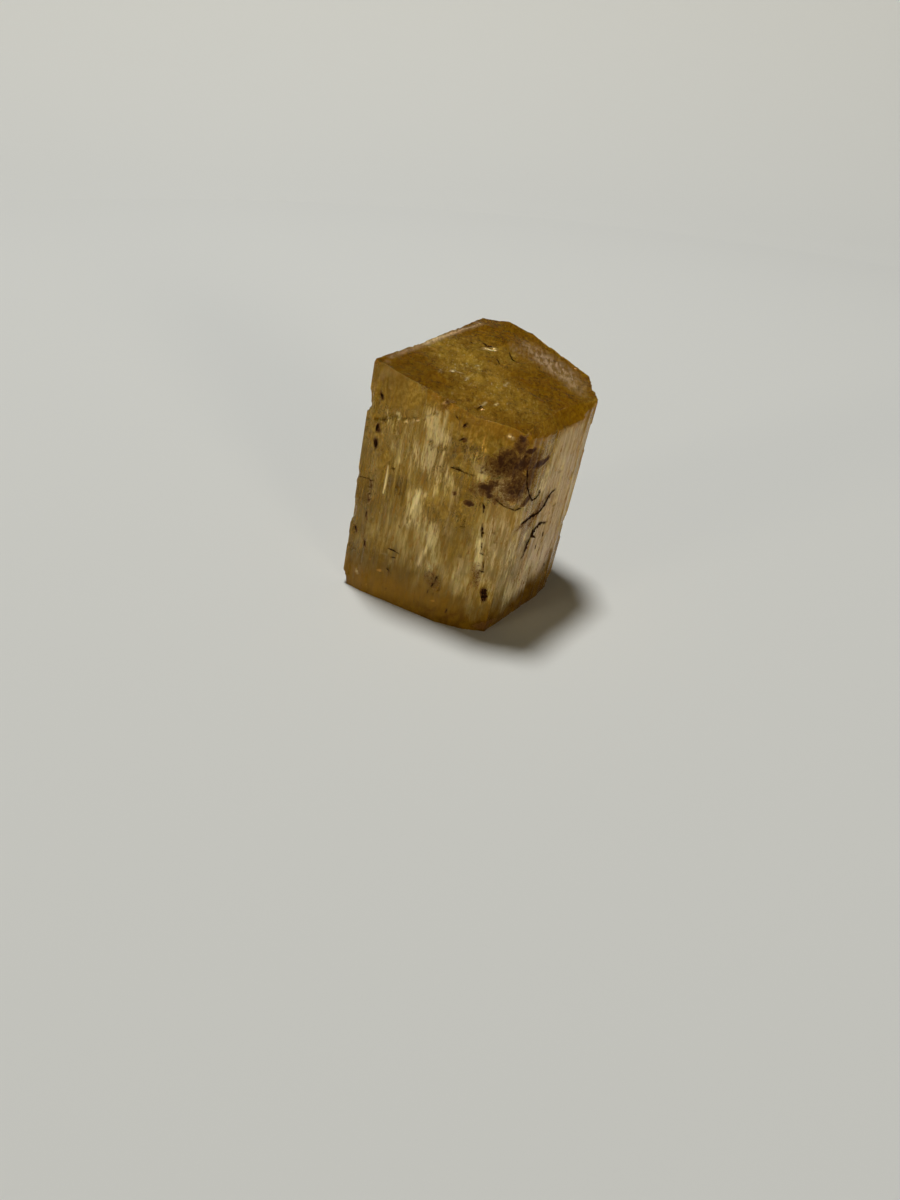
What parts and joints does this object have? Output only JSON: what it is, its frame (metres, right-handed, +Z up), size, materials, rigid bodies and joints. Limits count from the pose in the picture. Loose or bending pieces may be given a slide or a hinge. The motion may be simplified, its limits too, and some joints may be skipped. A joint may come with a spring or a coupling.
{
  "type": "topaz crystal",
  "caption": "Stout amber topaz prism with striated sides, an etched sloping top and chipped edges, standing on its flat broken end.",
  "frame": {"origin": "middle of the crystal's box, on the flat sole that it rests on", "axes": "+Z up, away from the sole; -Y towards the best side, with the chipped front edge and the striated faces on either side of it; +X to that side's right. The crystal's long axis leans about 7 degrees from +Z, towards +X and a little towards +Y"},
  "size_m": [0.0476, 0.0506, 0.0471],
  "materials": {
    "amber_topaz": "clear golden-brown crystal, frosted by fine striations along its sides and by etching on its top, with dark iron stains in its cracks"
  },
  "bodies": {
    "root": {"topaz_crystal": "amber_topaz"}
  },
  "joints": []
}
